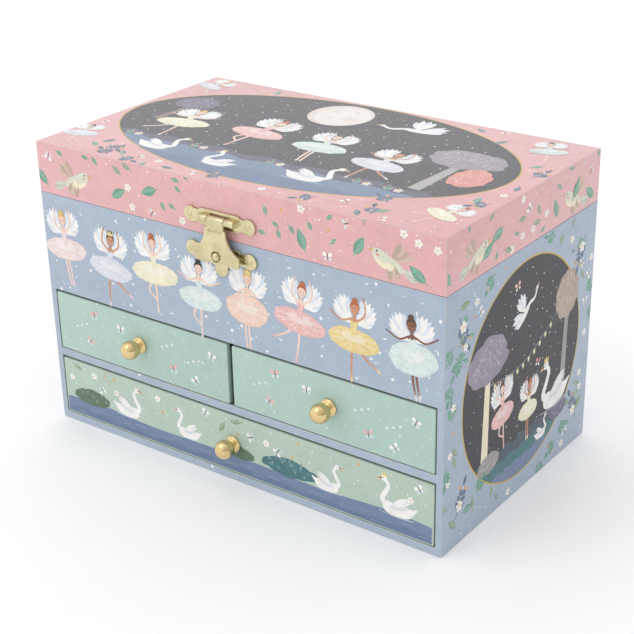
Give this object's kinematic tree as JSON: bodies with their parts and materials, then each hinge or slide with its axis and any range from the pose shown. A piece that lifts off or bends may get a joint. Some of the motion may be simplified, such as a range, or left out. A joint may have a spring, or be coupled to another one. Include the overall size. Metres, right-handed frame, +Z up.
{
  "type": "ballerina jewellery box",
  "caption": "Paper-covered jewellery box with drawers, a hinged mirror lid with a brass hasp, and a clockwork musical movement that turns a dancer on a spring.",
  "frame": {"origin": "middle of the underside of the case", "axes": "+X along the front towards the right-hand side, +Y from the front to the back, +Z up"},
  "size_m": [0.225, 0.1532, 0.146],
  "materials": {
    "blue_paper": "printed paper over dense greyboard, satin",
    "pink_paper": "printed paper over dense greyboard, satin",
    "green_paper": "printed paper over dense greyboard, satin",
    "green_board": "paper-covered fibreboard",
    "pale_brass": "lacquered pale brass plate",
    "gold_brass": "polished, turned",
    "movement_brass": "machined",
    "steel": "plain",
    "velvet": "flocked velvet",
    "mirror": "silvered glass",
    "doll": "painted moulded plastic",
    "tutu": "stiff net"
  },
  "bodies": {
    "case": {"base_panel": "blue_paper", "left_wall": "blue_paper", "right_wall": "blue_paper", "back_wall": "blue_paper", "front_wall": "blue_paper", "drawer_shelf": "blue_paper", "drawer_divider": "green_board", "compartment_floor": "blue_paper", "inner_liner": "velvet", "floor_lining": "velvet", "compartment_dividers": "velvet", "ring_cushion": "velvet", "movement_cover": "velvet", "hinge_case_leaves": "pale_brass", "hinge_pins": "steel", "clasp_case_plate": "pale_brass", "clasp_stud": "pale_brass", "case_nails": "pale_brass", "movement_bedplate": "steel", "movement_screws": "movement_brass", "comb": "steel"},
    "lid": {"lid_top_panel": "pink_paper", "lid_front_wall": "pink_paper", "lid_back_wall": "pink_paper", "lid_left_wall": "pink_paper", "lid_right_wall": "pink_paper", "lid_mirror": "mirror", "mirror_frame": "pink_paper", "hinge_lid_leaves": "pale_brass", "clasp_lid_plate": "pale_brass", "clasp_pin": "steel", "lid_nails": "pale_brass"},
    "hasp": {"clasp_hasp": "pale_brass"},
    "left_drawer": {"left_drawer_front": "green_paper", "left_drawer_tray": "green_board", "left_drawer_knob": "gold_brass", "left_drawer_screw": "steel"},
    "right_drawer": {"right_drawer_front": "green_paper", "right_drawer_tray": "green_board", "right_drawer_knob": "gold_brass", "right_drawer_screw": "steel"},
    "bottom_drawer": {"bottom_drawer_front": "green_paper", "bottom_drawer_tray": "green_board", "bottom_drawer_knob": "gold_brass", "bottom_drawer_screw": "steel"},
    "barrel": {"mainspring_barrel": "movement_brass", "mainspring": "steel"},
    "key": {"winding_arbor": "steel", "winding_key": "movement_brass"},
    "cylinder": {"music_cylinder": "movement_brass"},
    "governor": {"governor_wheel": "movement_brass"},
    "fly": {"governor_fly": "movement_brass"},
    "stop": {"stop_wire": "steel"},
    "spindle": {"crown_gear": "movement_brass", "dancer_spindle": "steel"},
    "spring_top": {"spring_cap": "steel", "dancer_spring": "steel"},
    "dancer": {"dancer_figure": "doll", "dancer_tutu": "tutu"}
  },
  "joints": [
    {"name": "lid_open", "type": "hinge", "parent": "case", "child": "lid", "pos_m": [0, 0.0679, 0.1211], "axis": [-1, 0, 0], "range_deg": [0, 100]},
    {"name": "hasp_swing", "type": "hinge", "parent": "lid", "child": "hasp", "pos_m": [-0.0012, -0.0683, 0.13], "axis": [-1, 0, 0], "range_deg": [0, 150]},
    {"name": "left_drawer_slide", "type": "slide", "parent": "case", "child": "left_drawer", "axis": [0, -1, 0], "range_m": [0, 0.09]},
    {"name": "right_drawer_slide", "type": "slide", "parent": "case", "child": "right_drawer", "axis": [0, -1, 0], "range_m": [0, 0.09]},
    {"name": "bottom_drawer_slide", "type": "slide", "parent": "case", "child": "bottom_drawer", "axis": [0, -1, 0], "range_m": [0, 0.09]},
    {"name": "barrel_spin", "type": "hinge", "parent": "case", "child": "barrel", "pos_m": [-0.012, 0, 0.086], "axis": [0, 1, 0], "continuous": true},
    {"name": "key_turn", "type": "hinge", "parent": "case", "child": "key", "pos_m": [-0.012, 0, 0.086], "axis": [0, 1, 0], "continuous": true},
    {"name": "cylinder_spin", "type": "hinge", "parent": "case", "child": "cylinder", "pos_m": [0, 0, 0.086], "axis": [0, 1, 0], "continuous": true},
    {"name": "governor_spin", "type": "hinge", "parent": "case", "child": "governor", "pos_m": [-0.0235, 0, 0.086], "axis": [0, 1, 0], "continuous": true},
    {"name": "fly_spin", "type": "hinge", "parent": "case", "child": "fly", "pos_m": [-0.0315, 0, 0.086], "axis": [0, 1, 0], "continuous": true},
    {"name": "stop_lift", "type": "slide", "parent": "case", "child": "stop", "axis": [0, 0, 1], "range_m": [0, 0.003]},
    {"name": "spindle_spin", "type": "hinge", "parent": "case", "child": "spindle", "pos_m": [0, 0.017, 0.086], "axis": [0, 0, 1], "continuous": true},
    {"name": "dancer_tilt", "type": "hinge", "parent": "case", "child": "spring_top", "pos_m": [0, 0.01507, 0.10747], "axis": [-1, 0, 0], "range_deg": [0, 90], "deforming": ["dancer_spring"]},
    {"name": "dancer_spin", "type": "hinge", "parent": "spring_top", "child": "dancer", "pos_m": [0, 0, 0.1094], "axis": [0, -1, 0], "continuous": true}
  ],
  "couplings": [
    {"joint": "cylinder_spin", "follows": "barrel_spin", "ratio": -3},
    {"joint": "governor_spin", "follows": "barrel_spin", "ratio": -3.6},
    {"joint": "fly_spin", "follows": "barrel_spin", "ratio": 10.8},
    {"joint": "spindle_spin", "follows": "barrel_spin", "ratio": 1.8},
    {"joint": "dancer_spin", "follows": "barrel_spin", "ratio": 1.8},
    {"joint": "dancer_tilt", "follows": "lid_open", "ratio": 0.9},
    {"joint": "stop_lift", "follows": "lid_open", "m_per_rad": 0.0017189}
  ]
}
